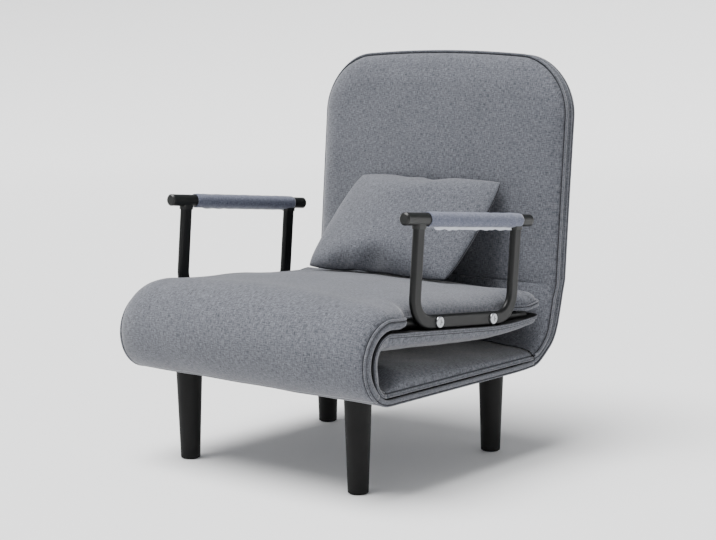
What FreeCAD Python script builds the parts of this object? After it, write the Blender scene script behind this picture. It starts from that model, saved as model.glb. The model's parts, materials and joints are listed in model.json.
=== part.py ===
import FreeCAD, Part
import math
import os
from FreeCAD import Placement, Rotation, Vector

os.makedirs("parts", exist_ok=True)

# Convertible chair bed: a mattress in three sections folded over itself on a steel tube frame.
# Millimetres. X to the sitter's left or right, -Y to the front, +Z up, floor at Z = 0.

# Stance: four tapered legs
leg_spacing_x = 434.0
leg_front_inset = 9.0
leg_rear_inset = 13.0
leg_height = 180.0
leg_top_r = 26.0
leg_foot_r = 19.5
glide_r = 16.0
glide_t = 2.5
glide_spigot_r = 6.0
glide_spigot = 10.0
stud_r = 4.0
stud_depth = 40.0
socket_r = 9.0
socket_height = 11.0

# Mattress outline and fabric
half_width = 313.0
waist = 2.5
end_crown_turn = 0.86
arch_shares = (0.6, 0.3)
arch_crown_keep = 0.8
shoulder = 62.0
shoulder_rise = 0.72
shoulder_shares = (0.0, 0.08, 0.3, 0.6, 1.0)
cover_t = 3.0
strip_width = 22.0
seam_gap = 0.3
soft_gap = 0.4

# Frame tubes, slats and plates
rail_inset = 35.0
tube_r = 11.0
tube_wall = 1.5
seat_tube_r = 12.5
slat_width = 25.0
slat_t = 3.0
slat_gap = 12.0
plate_t = 4.0
layer_gap = 0.4
pin_r = 4.0
pin_fit = 0.05
pin_head_r = 6.5
pin_head_t = 2.0
lug_r = 11.0
lug_ease = 1.0

# Base section
base_behind_fold = 14.0
base_pad_behind_fold = 31.0
base_short_of_hinge = 49.0
base_pad_short_of_hinge = 71.0
base_lip = 9.0
base_pad_lip = 10.0
fold_gap = 4.0
fold_ease = 10.0

# Nose: the covers run round the fold at the front
fold_y = -265.0
fold_z = 264.0
nose_r = 77.0
nose_swell = 0.5
nose_lip = 16.0
nose_pad_r = 46.0
link_r = 60.0
link_width = 16.0
link_centre_z = 258.0
tie_r = 6.0

# Seat section, folded over the base, its rear end lower
seat_tilt = 5.2
seat_front = 15.0
seat_length = 484.0
seat_tube_t = 61.5
seat_cover_edge = 72.4
seat_cover_lip = 55.6
seat_crown = 40.0
seat_pad_edge = 41.0
seat_pad_low = 8.0
seat_pad_front = 27.0
seat_corner = 38.0

# Back section and its ratchet hinge
back_lean = 4.5
seat_to_hinge = 29.0
recline_z = 235.0
back_length = 582.0
back_start = 117.5
back_pad_start = 100.0
back_lip = 12.0
back_pad_lip = 5.0
back_edge = -23.0
back_crown = 38.0
back_corner_x = 115.0
back_corner_y = 105.0
back_arch = 8.0
back_bar = 458.0
corner_ease = 10.0
corner_rise = 6.0
corner_steps = 10
ratchet_r = 18.0
wheel_r = 17.0
wheel_teeth = 12
wheel_room = 6.0
tooth_depth = 3.0
pawl_gap = 0.5
pawl_tip = 3.0
pawl_behind = 37.8
pawl_below = 20.7
plate_shoulder = 12.6

# Armrests, bolted to the seat section
armrest_inset = 16.0
armrest_s = 238.0
armrest_half = 157.0
arm_wide = 28.0
arm_thick = 13.0
arm_wall = 1.5
arm_bend = 48.0
arm_notch = 1.0
cap_r = 12.0
cap_length = 83.0
cap_tip = 204.0
cap_collar = 6.0
collar_wall = 2.0
floor_gap = 0.5
grip_r = 10.0
grip_reach = 140.0
sleeve_t = 1.2
sleeve_shift = 56.0
hem_drop = 12.0
bolt_half = 87.0
bolt_r = 4.0
bolt_head_r = 11.0
bolt_head_t = 4.0
bolt_head_edge = 1.6
washer_r = 9.0
washer_t = 1.5
nut_r = 7.5
nut_t = 6.5

# Head leg, folded on the rear of the back
head_leg_half = 150.0
head_leg_r = 9.5
head_leg_out = 12.5
head_leg_bend = 40.0
head_leg_stub = 6.0
head_foot_r = 11.5
head_foot_long = 60.0
head_foot_half = 75.0
ear_t = 2.0
ear_gap = 0.5
ear_r = 9.0

# Loose pillow on the seat, leaning back
pillow_width = 370.0
pillow_height = 237.0
pillow_thick = 104.0
pillow_lean = 36.2
pillow_x = -14.0
pillow_s = 355.0
pillow_waist = 9.0
pillow_seam = 6.0
pillow_seat_gap = 0.3
pillow_fullness = 0.7

# Places that follow from the sizes
rail_x = half_width - rail_inset
armrest_x = half_width - armrest_inset
base_under = leg_height
base_tube_z = base_under + cover_t + tube_r + seam_gap
base_tube_top = base_tube_z + tube_r
back_under = base_under - recline_z
back_tube_t = back_under + cover_t + tube_r + seam_gap
strip_in = half_width - strip_width
cap_t = fold_z - floor_gap - cap_r
seat_place = Placement(Vector(0, fold_y, fold_z), Rotation(Vector(1, 0, 0), -seat_tilt))
world = Placement()
AXIS_X = Vector(1, 0, 0)
seat_cos = math.cos(math.radians(seat_tilt))
seat_sin = math.sin(math.radians(seat_tilt))
quarter_handle = 0.5523
recline_y = fold_y + seat_length * seat_cos + seat_to_hinge
base_y0 = fold_y + base_behind_fold
base_y1 = recline_y - base_short_of_hinge
leg_rows = [base_y0 + leg_front_inset, base_y1 - leg_rear_inset]
back_place = Placement(Vector(0, recline_y, recline_z), Rotation(AXIS_X, 90 - back_lean))


def placed(shape, place):
    out = shape.copy()
    out.Placement = place.multiply(out.Placement)
    return out


def other_side(shape):
    return shape.mirror(Vector(0, 0, 0), AXIS_X)


def both(shape):
    return [shape, other_side(shape)]


def save(node, shapes, place=world):
    solids = [placed(s, place) for s in shapes]
    whole = solids[0] if len(solids) == 1 else Part.makeCompound(solids)
    whole.exportStep("parts/" + node + ".step")


def rod(start, end, radius):
    way = end.sub(start)
    return Part.makeCylinder(radius, way.Length, start, way)


def pipe(start, end, radius, wall):
    return rod(start, end, radius).cut(rod(start, end, radius - wall))


def block(x0, x1, y0, y1, z0, z1):
    return Part.makeBox(x1 - x0, y1 - y0, z1 - z0, Vector(x0, y0, z0))


def panel(points, x0, x1):
    """A flat plate: an outline of (y, z) points, from x0 to x1."""
    wire = Part.makePolygon([Vector(x0, y, z) for y, z in points + points[:1]])
    return Part.Face(wire).extrude(Vector(x1 - x0, 0, 0))


def disc(y, z, radius, x0, x1):
    return rod(Vector(x0, y, z), Vector(x1, y, z), radius)


def bezier(p0, p1, p2, count):
    """Points along a quadratic curve from p0 to p2, drawn towards p1."""
    out = []
    for i in range(count + 1):
        t = i / count
        a, b, c = (1 - t) ** 2, 2 * t * (1 - t), t * t
        out.append((a * p0[0] + b * p1[0] + c * p2[0], a * p0[1] + b * p1[1] + c * p2[1]))
    return out


def arc(a, b, c):
    return Part.Arc(a, b, c).toShape()


def quarter(a, corner, b):
    """A quarter of an ellipse from a to b inside the corner point."""
    handles = [a.add(corner.sub(a).multiply(quarter_handle)),
               b.add(corner.sub(b).multiply(quarter_handle))]
    curve = Part.BezierCurve()
    curve.setPoles([a] + handles + [b])
    return curve.toShape()


def cushion_section(y, w, low, edge, top):
    """A closed outline across the mattress: flat below, square edge, soft shoulders, crown."""
    rise = shoulder_rise * (top - edge)
    flat = w - min(shoulder, w / 2)
    a, b = Vector(-w, y, low), Vector(w, y, low)
    c, f = Vector(w, y, edge), Vector(-w, y, edge)
    d, e = Vector(flat, y, edge + rise), Vector(-flat, y, edge + rise)
    edges = [
        Part.makeLine(a, b),
        Part.makeLine(b, c),
        quarter(c, Vector(w, y, edge + rise), d),
        arc(d, Vector(0, y, top), e),
        quarter(e, Vector(-w, y, edge + rise), f),
        Part.makeLine(f, a),
    ]
    return Part.Wire(edges)


def cushion(rows):
    """A padded slab through rows of (y, half width, low, edge, top)."""
    return Part.makeLoft([cushion_section(*row) for row in rows], True, True)


def round_end(length, corner_x, corner_y, arch, turns):
    """Half widths along a rounded end: (y, half width, share of the crown left)."""
    rows = []
    for i in range(turns + 1):
        a = math.radians(90 * i / turns)
        w = half_width - corner_x + corner_x * math.cos(a)
        rows.append((length - arch - corner_y + corner_y * math.sin(a), w, math.cos(a * end_crown_turn)))
    if arch:
        for share in arch_shares:
            w = (half_width - corner_x) * share
            rows.append((length - arch * share ** 2, w, rows[-1][2] * arch_crown_keep))
    return rows


def coped_bar(y, z, radius, end_r):
    """A cross bar between the side rails, its ends shaped to the rails."""
    bar = pipe(Vector(-rail_x, y, z), Vector(rail_x, y, z), radius, tube_wall)
    far = 4 * radius
    rail = rod(Vector(rail_x, y - far, z), Vector(rail_x, y + far, z), end_r)
    return bar.cut(rail).cut(other_side(rail))


def slats(rows, z, end_r):
    x = rail_x - end_r - seam_gap
    return [block(-x, x, y - slat_width / 2, y + slat_width / 2, z - slat_t / 2, z + slat_t / 2)
            for y in rows]


# Layers of the hinges, from the middle of the chair outward: moving plate, gap, fixed plate
moving_x0 = rail_x - plate_t - layer_gap / 2
moving_x1 = rail_x - layer_gap / 2
fixed_x0 = rail_x + layer_gap / 2
fixed_x1 = rail_x + layer_gap / 2 + plate_t
wheel_x0 = moving_x0 - plate_t
slot_x0 = wheel_x0 - wheel_room


def hinge_pin(y, z, x0, x1):
    """A riveted pin through both plates, with a head on each end."""
    shank = disc(y, z, pin_r, x0, x1)
    inner = disc(y, z, pin_head_r, x0 - pin_head_t, x0)
    outer = disc(y, z, pin_head_r, x1, x1 + pin_head_t)
    return shank.fuse(inner).fuse(outer).removeSplitter()


# Legs, their studs, sockets and glides
leg_spots = []
for leg_name, side, row in (
    ("front_left", -1, 0), ("front_right", 1, 0), ("rear_left", -1, 1), ("rear_right", 1, 1)
):
    spot = (side * leg_spacing_x / 2, leg_rows[row])
    leg_spots.append(spot)
    x, y = spot
    leg = Part.makeCone(leg_foot_r, leg_top_r, leg_height - glide_t, Vector(x, y, glide_t))
    leg = leg.cut(Part.makeCylinder(stud_r, stud_depth, Vector(x, y, leg_height - stud_depth)))
    leg = leg.cut(Part.makeCylinder(glide_spigot_r, glide_spigot, Vector(x, y, glide_t)))
    save("leg_" + leg_name, [leg])

studs = []
sockets = []
glides = []
for x, y in leg_spots:
    top = base_under + cover_t + socket_height
    studs.append(rod(Vector(x, y, leg_height - stud_depth), Vector(x, y, top), stud_r))
    bush = rod(Vector(x, y, base_under + cover_t), Vector(x, y, top), socket_r)
    sockets.append(bush.cut(studs[-1]))
    foot = Part.makeCylinder(glide_r, glide_t, Vector(x, y, 0))
    spigot = Part.makeCylinder(glide_spigot_r, glide_spigot, Vector(x, y, glide_t))
    glides.append(foot.fuse(spigot).removeSplitter())
save("leg_studs", studs)
save("leg_sockets", sockets)
save("leg_glides", glides)

# Base frame
rail = pipe(Vector(rail_x, base_y0, base_tube_z), Vector(rail_x, base_y1, base_tube_z),
            tube_r, tube_wall)
save("base_rail_right", [rail])
save("base_rail_left", [other_side(rail)])
bush_space = Part.makeCompound([b.fuse(s) for b, s in zip(sockets, studs)])
bars = [coped_bar(y, base_tube_z, tube_r, tube_r) for y in leg_rows]
save("base_cross_bars", [bar.cut(bush_space) for bar in bars])
slat_pitch = (leg_rows[1] - leg_rows[0]) / 4
save("base_slats", slats([leg_rows[0] + k * slat_pitch for k in (1, 2, 3)], base_tube_z, tube_r))

# Base cover: a thin lined panel with a rim round the rails
cover = block(-half_width, half_width, base_y0, base_y1, base_under, base_under + cover_t)
rim = block(strip_in, half_width, base_y0, base_y1, base_under + cover_t, base_under + base_lip)
cover = cover.fuse(rim).fuse(other_side(rim)).removeSplitter()
save("base_cover", [cover.cut(Part.makeCompound(studs))])

# Base mattress: its crown falls to the rear, under the sloping seat section
pad_low = base_tube_top + seam_gap
pad_y0 = fold_y + base_pad_behind_fold
pad_y1 = recline_y - base_pad_short_of_hinge
base_rows = []
for i in range(5):
    t = i / 4
    y = pad_y0 + t * (pad_y1 - pad_y0)
    fall = (y - fold_y) * math.tan(math.radians(seat_tilt))
    top = fold_z + seat_pad_low - fold_gap - fall - fold_ease * (1 - t)
    w = half_width - waist * math.sin(math.pi * t)
    base_rows.append((y, w, pad_low, pad_low + soft_gap, top))
pad = cushion(base_rows)
pad_end_top = base_rows[-1][4]
rim = block(strip_in, half_width - waist, pad_y0, pad_y1, pad_low - base_pad_lip, pad_low)
save("base_mattress", [pad.fuse(rim).fuse(other_side(rim)).removeSplitter()])

# Front hinge: lugs on base and seat rails, C-shaped links between them
low_y, low_z = fold_y, link_centre_z - link_r
lug = block(fixed_x0, fixed_x1, low_y, base_y0, low_z - lug_r + lug_ease, base_tube_top)
lug = lug.fuse(disc(low_y, low_z, lug_r, fixed_x0, fixed_x1)).removeSplitter()
lug = lug.cut(disc(low_y, low_z, pin_r, fixed_x0, fixed_x1))
save("base_hinge_lugs", both(lug))
link = disc(fold_y, link_centre_z, link_r + link_width / 2, moving_x0, moving_x1)
link = link.cut(disc(fold_y, link_centre_z, link_r - link_width / 2, moving_x0, moving_x1))
reach = link_r + link_width
link = link.cut(block(moving_x0, moving_x1, fold_y, fold_y + reach,
                      link_centre_z - reach, link_centre_z + reach))
high_z = link_centre_z + link_r
for z in (low_z, high_z):
    link = link.fuse(disc(fold_y, z, lug_r, moving_x0, moving_x1))
for z in (low_z, high_z):
    link = link.cut(disc(fold_y, z, pin_r + pin_fit, moving_x0, moving_x1))
link = link.removeSplitter()
save("front_link_right", [link])
save("front_link_left", [other_side(link)])
tie_y = fold_y - link_r
save("link_tie_rod", [rod(Vector(-moving_x0, tie_y, link_centre_z),
                          Vector(moving_x0, tie_y, link_centre_z), tie_r)])
pin_x0 = moving_x0 - seam_gap
save("base_hinge_pins", both(hinge_pin(low_y, low_z, pin_x0, fixed_x1)))
save("seat_hinge_pins", both(hinge_pin(fold_y, high_z, pin_x0, fixed_x1)))


# Nose: outer cover round the fold, in a lower and an upper quarter, crowned to the front
fold_cz = base_under + nose_r
nose_end = seat_front - seam_gap


def nose_section(x, r_out, r_in, rise, half):
    """A quarter band round the fold at one x; half is -1 for the lower, 1 for the upper part."""
    front = fold_y - r_out - rise * nose_swell
    z0 = fold_cz + (seam_gap if half > 0 else 0.0)
    if half > 0:
        out_z = fold_cz + r_out + rise
        a = seat_place.multVec(Vector(x, nose_end, seat_cover_edge - nose_r + r_out + rise))
        h = seat_place.multVec(Vector(x, nose_end, seat_cover_edge - nose_r + r_in))
    else:
        out_z = fold_cz - r_out
        a = Vector(x, base_y0 - seam_gap, out_z)
        h = Vector(x, base_y0 - seam_gap, fold_cz - r_in)
    in_z = fold_cz + half * r_in
    b, d = Vector(x, fold_y, out_z), Vector(x, front, z0)
    e, g = Vector(x, fold_y - r_in, z0), Vector(x, fold_y, in_z)
    edges = [
        Part.makeLine(a, b), quarter(b, Vector(x, front, out_z), d), Part.makeLine(d, e),
        quarter(e, Vector(x, fold_y - r_in, in_z), g), Part.makeLine(g, h), Part.makeLine(h, a),
    ]
    return Part.Wire(edges)


def crown_share(x):
    """Share of the crown at x, the same across the nose as across the seat."""
    u = min(1.0, (half_width - abs(x)) / shoulder)
    if u < 1.0:
        return shoulder_rise * math.sqrt(1 - (1 - u) ** 2)
    return shoulder_rise + (1 - shoulder_rise) * (1 - (x / (half_width - shoulder)) ** 2)


side_xs = [half_width - shoulder * u for u in shoulder_shares] + [half_width / 2]
band_xs = [-x for x in side_xs] + [0.0] + list(reversed(side_xs))
for node, half in (("nose_cover_lower", -1), ("nose_cover_upper", 1)):
    shell = Part.makeLoft([nose_section(x, nose_r, nose_r - cover_t, seat_crown * crown_share(x), half)
                           for x in band_xs], True, True)
    side = Part.makeLoft([nose_section(x, nose_r - cover_t, nose_r - nose_lip, 0.0, half)
                          for x in (strip_in, half_width)], True, True)
    save(node, [shell.fuse(side).fuse(other_side(side))])


def fold_pad(half, end_y):
    """The inner mattress at the fold: a quarter round that ends against its section."""
    cz = fold_cz
    z0 = cz + half * seam_gap
    drop = (end_y - fold_y) * math.tan(math.radians(seat_tilt)) if half > 0 else 0.0
    s = math.sqrt(0.5)
    x = -half_width + waist
    a = Vector(x, end_y, z0 + (2 * soft_gap if half > 0 else 0.0))
    b = Vector(x, fold_y - nose_pad_r, z0)
    c = Vector(x, fold_y - nose_pad_r * s, cz + half * nose_pad_r * s)
    d = Vector(x, fold_y, cz + half * nose_pad_r)
    e = Vector(x, end_y, cz + half * nose_pad_r - drop)
    wire = Part.Wire([Part.makeLine(a, b), arc(b, c, d), Part.makeLine(d, e), Part.makeLine(e, a)])
    return Part.Face(wire).extrude(Vector(-2 * x, 0, 0))


save("fold_mattress_lower", [fold_pad(-1, pad_y0 - seam_gap)])
pad_front_y = fold_y + (seat_pad_front - seam_gap) * seat_cos + seat_pad_low * seat_sin
save("fold_mattress_upper", [fold_pad(1, pad_front_y)])

# Seat section, built flat with Y along it from the fold and Z towards the sitter
seat_rail_y0 = seat_front + cover_t
seat_rail_y1 = seat_length - strip_width
rail = pipe(Vector(rail_x, seat_rail_y0, seat_tube_t), Vector(rail_x, seat_rail_y1, seat_tube_t),
            seat_tube_r, tube_wall)
bolt_rows = [armrest_s - bolt_half, armrest_s + bolt_half]
bolt_holes = Part.makeCompound(
    [rod(Vector(rail_x - 2 * seat_tube_r, s, seat_tube_t),
         Vector(armrest_x + arm_thick, s, seat_tube_t), bolt_r + pin_fit) for s in bolt_rows])
rail = rail.cut(bolt_holes)
save("seat_rail_right", [rail], seat_place)
save("seat_rail_left", [other_side(rail)], seat_place)
seat_bar_y0 = seat_rail_y0 + 2 * seat_tube_r
seat_bar_y1 = seat_rail_y1 - 2 * tube_r
save("seat_cross_bars", [coped_bar(y, seat_tube_t, tube_r, seat_tube_r)
                         for y in (seat_bar_y0, seat_bar_y1)], seat_place)
slat_reach = bolt_half + washer_r + slat_width / 2 + slat_gap
save("seat_slats", slats([armrest_s - slat_reach, armrest_s, armrest_s + slat_reach], seat_tube_t,
                         seat_tube_r), seat_place)
hinge_s = -(high_z - fold_z) * seat_sin
hinge_t = (high_z - fold_z) * seat_cos
lug = block(fixed_x0, fixed_x1, hinge_s, seat_rail_y0, seat_tube_t - seat_tube_r,
            hinge_t + lug_r - lug_ease)
lug = lug.fuse(disc(hinge_s, hinge_t, lug_r, fixed_x0, fixed_x1)).removeSplitter()
lug = lug.cut(disc(hinge_s, hinge_t, pin_r, fixed_x0, fixed_x1))
save("seat_hinge_lugs", both(lug), seat_place)

# Seat cover and mattress, with a notch at each side for the armrest
notch_y0 = armrest_s - armrest_half - arm_wide / 2 - arm_notch
notch_y1 = armrest_s + armrest_half + arm_wide / 2 + arm_notch
notch = block(armrest_x - arm_thick / 2 - arm_notch, half_width + waist, notch_y0, notch_y1,
              seat_tube_t - arm_wide / 2 - arm_notch, seat_cover_edge + 2 * seat_crown)
notches = Part.makeCompound(both(notch))
end_rows = round_end(seat_length, seat_corner, seat_corner, 0.0, 4)
seat_mid = seat_length / 2
straight = [(seat_front, half_width, 1.0), (seat_mid, half_width - waist, 1.0),
            (seat_mid + seat_mid / 2, half_width - waist / 2, 1.0)]
rows = [(y, w, seat_cover_lip, seat_cover_edge, seat_cover_edge + seat_crown * f)
        for y, w, f in straight + end_rows]
cover = cushion(rows)
room = block(-strip_in, strip_in, seat_front, seat_rail_y1 + seam_gap, seat_cover_lip,
             seat_tube_t + seat_tube_r + seam_gap)
save("seat_cover", [cover.cut(room).cut(notches)], seat_place)
straight = [(seat_pad_front, half_width - waist, 1.0), (seat_mid, half_width - waist, 1.0),
            (seat_mid + seat_mid / 2, half_width - waist, 1.0)]
pad_top = seat_tube_t - seat_tube_r - seam_gap
rows = []
for y, w, f in straight + end_rows:
    inner = min(w, half_width - waist)
    rows.append((y, inner, -pad_top, -seat_pad_edge, -seat_pad_edge + (seat_pad_edge
                 - seat_pad_low) * f))
pad = cushion(rows).mirror(Vector(0, 0, 0), Vector(0, 0, 1))
save("seat_mattress", [pad.cut(notches)], seat_place)


# Armrest: a U of flat-oval tube with a round bar across its top
def flat_oval(centre, wide_way, wide, thick):
    """A flat-oval outline across the tube, wide along wide_way and thick along X."""
    half = (wide - thick) / 2
    side = Vector(thick / 2, 0, 0)
    w = Vector(wide_way).multiply(half)
    tip = Vector(wide_way).multiply(wide / 2)
    a = centre.add(w).add(side)
    b = centre.add(w).sub(side)
    c = centre.sub(w).sub(side)
    d = centre.sub(w).add(side)
    edges = [Part.makeLine(d, a), arc(a, centre.add(tip), b), Part.makeLine(b, c),
             arc(c, centre.sub(tip), d)]
    return Part.Face(Part.Wire(edges))


def armrest_body(wide, thick, top_t):
    cx = armrest_x
    t0 = seat_tube_t
    turn = t0 + arm_bend
    straight_half = armrest_half - arm_bend
    parts = []
    for side in (-1, 1):
        s = armrest_s + side * armrest_half
        upright = flat_oval(Vector(cx, s, turn), Vector(0, 1, 0), wide, thick)
        parts.append(upright.extrude(Vector(0, 0, top_t - turn)))
        centre = Vector(cx, s - side * arm_bend, turn)
        parts.append(upright.revolve(centre, AXIS_X, -90 * side))
    bar = flat_oval(Vector(cx, armrest_s - straight_half, t0), Vector(0, 0, 1), wide, thick)
    parts.append(bar.extrude(Vector(0, 2 * straight_half, 0)))
    whole = parts[0]
    for piece in parts[1:]:
        whole = whole.fuse(piece)
    return whole.removeSplitter()


upright_top = cap_t + cap_r / 2
armrest = armrest_body(arm_wide, arm_thick, upright_top)
bore = armrest_body(arm_wide - 2 * arm_wall, arm_thick - 2 * arm_wall, upright_top)
armrest = armrest.cut(bore).cut(bolt_holes)
save("armrest_tube_right", [armrest], seat_place)
save("armrest_tube_left", [other_side(armrest)], seat_place)
grip = pipe(Vector(armrest_x, armrest_s - grip_reach, cap_t),
            Vector(armrest_x, armrest_s + grip_reach, cap_t), grip_r, tube_wall)
outer_upright = armrest_body(arm_wide, arm_thick, upright_top)
grip = grip.cut(outer_upright)
save("armrest_bars", both(grip), seat_place)

caps = []
for side in (-1, 1):
    tip = armrest_s + side * cap_tip
    root = tip - side * cap_length
    cap = rod(Vector(armrest_x, root, cap_t), Vector(armrest_x, tip, cap_t), cap_r)
    rims = [e for e in cap.Edges if e.Curve.TypeId == "Part::GeomCircle"]
    cap = cap.makeChamfer(cap_r / 4, rims)
    s = armrest_s + side * armrest_half
    collar = flat_oval(Vector(armrest_x, s, cap_t - cap_r - cap_collar), Vector(0, 1, 0),
                       arm_wide + 2 * collar_wall, arm_thick + 2 * collar_wall)
    cap = cap.fuse(collar.extrude(Vector(0, 0, cap_r + cap_collar)))
    cap = cap.cut(outer_upright)
    bar_space = rod(Vector(armrest_x, armrest_s - grip_reach, cap_t),
                    Vector(armrest_x, armrest_s + grip_reach, cap_t), grip_r)
    caps.append(cap.cut(bar_space))
for cap, name in zip(caps, ("front", "rear")):
    save("armrest_caps_" + name, both(cap), seat_place)

# Sleeve: a fabric tube pushed to the rear over the rear cap, its hem hanging below the bar
sleeve_in = cap_r + soft_gap
sleeve_y0 = armrest_s - cap_tip + cap_length + seam_gap
sleeve_y1 = sleeve_y0 + 2 * (cap_tip - cap_length) + sleeve_shift
sleeve = pipe(Vector(armrest_x, sleeve_y0, cap_t), Vector(armrest_x, sleeve_y1, cap_t),
              sleeve_in + sleeve_t, sleeve_t)
hem_t0 = cap_t - sleeve_in - hem_drop
rear_upright = armrest_s + armrest_half - arm_wide / 2
hem = block(armrest_x, armrest_x + sleeve_t, sleeve_y0, rear_upright - cap_collar,
            hem_t0, cap_t - sleeve_in - sleeve_t / 2)
window = block(armrest_x - arm_thick, armrest_x + arm_thick, rear_upright - cap_collar + seam_gap,
               rear_upright + arm_wide + cap_collar, hem_t0, cap_t)
sleeve = sleeve.fuse(hem).cut(window).removeSplitter()
save("armrest_sleeve_right", [sleeve], seat_place)
save("armrest_sleeve_left", [other_side(sleeve)], seat_place)

bolts = []
washers = []
nuts = []
face_x = armrest_x + arm_thick / 2
inner_x = rail_x - seat_tube_r - seam_gap
for s in bolt_rows:
    head = disc(s, seat_tube_t, bolt_head_r, face_x, face_x + bolt_head_t)
    rims = [e for e in head.Edges if e.Curve.TypeId == "Part::GeomCircle"
            and e.CenterOfMass.x > face_x + bolt_head_t / 2]
    head = head.makeFillet(bolt_head_t - bolt_head_edge, rims)
    slot_w = bolt_head_t / 2
    for long_s, long_t in ((slot_w, bolt_head_r), (bolt_head_r, slot_w)):
        head = head.cut(block(face_x + bolt_head_t / 2, face_x + bolt_head_t, s - long_s / 2,
                              s + long_s / 2, seat_tube_t - long_t / 2, seat_tube_t + long_t / 2))
    shank = disc(s, seat_tube_t, bolt_r, inner_x - washer_t - nut_t, face_x)
    bolts.append(head.fuse(shank).removeSplitter())
    ring = disc(s, seat_tube_t, washer_r, inner_x - washer_t, inner_x)
    washers.append(ring.cut(shank))
    corners = []
    for k in range(6):
        a = math.radians(60 * k)
        corners.append((s + nut_r * math.cos(a), seat_tube_t + nut_r * math.sin(a)))
    nuts.append(panel(corners, inner_x - washer_t - nut_t, inner_x - washer_t).cut(shank))
for name, group in (("armrest_bolts", bolts), ("armrest_washers", washers), ("armrest_nuts", nuts)):
    save(name, group + [other_side(g) for g in group], seat_place)

# Ratchet hinge: fixed plate on the base rail, moving plate and toothed wheel on the back
axis_y, axis_z = recline_y, recline_z
foot = base_tube_z - tube_r / 2
arm_plate = panel([(base_y1, foot), (base_y1 + tube_r, foot), (axis_y + plate_shoulder,
                  axis_z - plate_shoulder), (axis_y - plate_shoulder, axis_z + plate_shoulder),
                  (base_y1, base_tube_top)], fixed_x0, fixed_x1)
arm_plate = arm_plate.fuse(disc(axis_y, axis_z, ratchet_r, fixed_x0, fixed_x1)).removeSplitter()
pawl_y = axis_y - pawl_behind
pawl_z = axis_z - pawl_below
arm_plate = arm_plate.fuse(disc(pawl_y, pawl_z, pin_head_r + lug_ease, fixed_x0, fixed_x1))
arm_plate = arm_plate.cut(disc(axis_y, axis_z, pin_r, fixed_x0, fixed_x1))
arm_plate = arm_plate.cut(disc(pawl_y, pawl_z, pin_r, fixed_x0, fixed_x1)).removeSplitter()
save("ratchet_base_plates", both(arm_plate))
save("ratchet_pins", both(hinge_pin(axis_y, axis_z, wheel_x0 - seam_gap, fixed_x1)))
pawl_x0 = wheel_x0 + seam_gap
pawl_x1 = moving_x0 - seam_gap
save("pawl_pins", both(disc(pawl_y, pawl_z, pin_r, pawl_x0 - pin_head_t - seam_gap, fixed_x1)))
way = Vector(0, axis_y - pawl_y, axis_z - pawl_z)
nose_at = way.Length - wheel_r - pawl_gap
way.normalize()
across = Vector(0, -way.z, way.y)


def along(a, b):
    """A point a towards the ratchet axis from the pawl's pin and b to its side."""
    return (pawl_y + way.y * a + across.y * b, pawl_z + way.z * a + across.z * b)


pawl = panel([along(0, -pin_head_r), along(nose_at, -pawl_tip / 2), along(nose_at, pawl_tip / 2),
              along(0, pin_head_r)], pawl_x0, pawl_x1)
pawl = pawl.fuse(disc(pawl_y, pawl_z, pin_head_r, pawl_x0, pawl_x1)).removeSplitter()
save("ratchet_pawls", both(pawl.cut(disc(pawl_y, pawl_z, pin_r, pawl_x0, pawl_x1))))
spring = disc(pawl_y, pawl_z, pin_head_r, pawl_x1 + seam_gap, fixed_x0 - seam_gap)
spring = spring.cut(disc(pawl_y, pawl_z, pin_r, pawl_x1, fixed_x0))
save("pawl_springs", both(spring))

# Back section, built flat with Y along it from the ratchet axis and Z towards the sleeper
wheel_points = []
for k in range(2 * wheel_teeth):
    a = math.radians(180 * k / wheel_teeth)
    r = wheel_r - (tooth_depth if k % 2 else 0.0)
    wheel_points.append((r * math.cos(a), r * math.sin(a)))
wheel = panel(wheel_points, wheel_x0, moving_x0)
wheel = wheel.cut(disc(0, 0, pin_r + pin_fit, wheel_x0, moving_x0))
save("ratchet_wheels", both(wheel), back_place)
lower = back_tube_t - tube_r / 2
upper = back_tube_t + tube_r
swing = panel([(0, -ratchet_r), (back_start, lower), (back_start, upper),
               (back_pad_start, upper), (0, ratchet_r)],
              moving_x0, moving_x1)
swing = swing.fuse(disc(0, 0, ratchet_r, moving_x0, moving_x1)).removeSplitter()
swing = swing.cut(disc(0, 0, pin_r + pin_fit, moving_x0, moving_x1))
save("ratchet_back_plates", both(swing), back_place)
back_rail_end = back_bar + tube_r
rail = pipe(Vector(rail_x, back_start, back_tube_t), Vector(rail_x, back_rail_end, back_tube_t),
            tube_r, tube_wall)
save("back_rail_right", [rail], back_place)
save("back_rail_left", [other_side(rail)], back_place)
low_bar = back_start + 2 * tube_r
save("back_cross_bars", [coped_bar(y, back_tube_t, tube_r, tube_r)
                         for y in (low_bar, back_bar)], back_place)
back_step = (back_bar - low_bar) / 4
save("back_slats", slats([low_bar + k * back_step for k in (1, 2, 3)], back_tube_t, tube_r),
     back_place)

# Head leg brackets: two ears at each end of the folding leg, welded to the top bar
leg_t = back_under - head_leg_out
ears = []
ear_slots = []
for x0 in (head_leg_half - head_leg_r - ear_gap - ear_t, head_leg_half + head_leg_r + ear_gap):
    ear = block(x0, x0 + ear_t, back_bar - ear_r, back_bar + ear_r, leg_t, back_tube_t)
    ear = ear.fuse(disc(back_bar, leg_t, ear_r, x0, x0 + ear_t))
    ear = ear.cut(disc(back_bar, back_tube_t, tube_r, x0, x0 + ear_t))
    ears.append(ear.cut(disc(back_bar, leg_t, pin_r, x0, x0 + ear_t)).removeSplitter())
    ear_slots.append(block(x0 - seam_gap, x0 + ear_t + seam_gap, back_bar - ear_r - seam_gap,
                           back_bar + ear_r + seam_gap, leg_t, back_tube_t))
save("head_leg_brackets", ears + [other_side(e) for e in ears], back_place)
pin_end = head_leg_r + ear_gap + ear_t
save("head_leg_pins", both(hinge_pin(back_bar, leg_t, head_leg_half - pin_end,
                                     head_leg_half + pin_end)), back_place)

# Back cover and mattress
end_rows = round_end(back_length, back_corner_x, back_corner_y, back_arch, 6)


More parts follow.
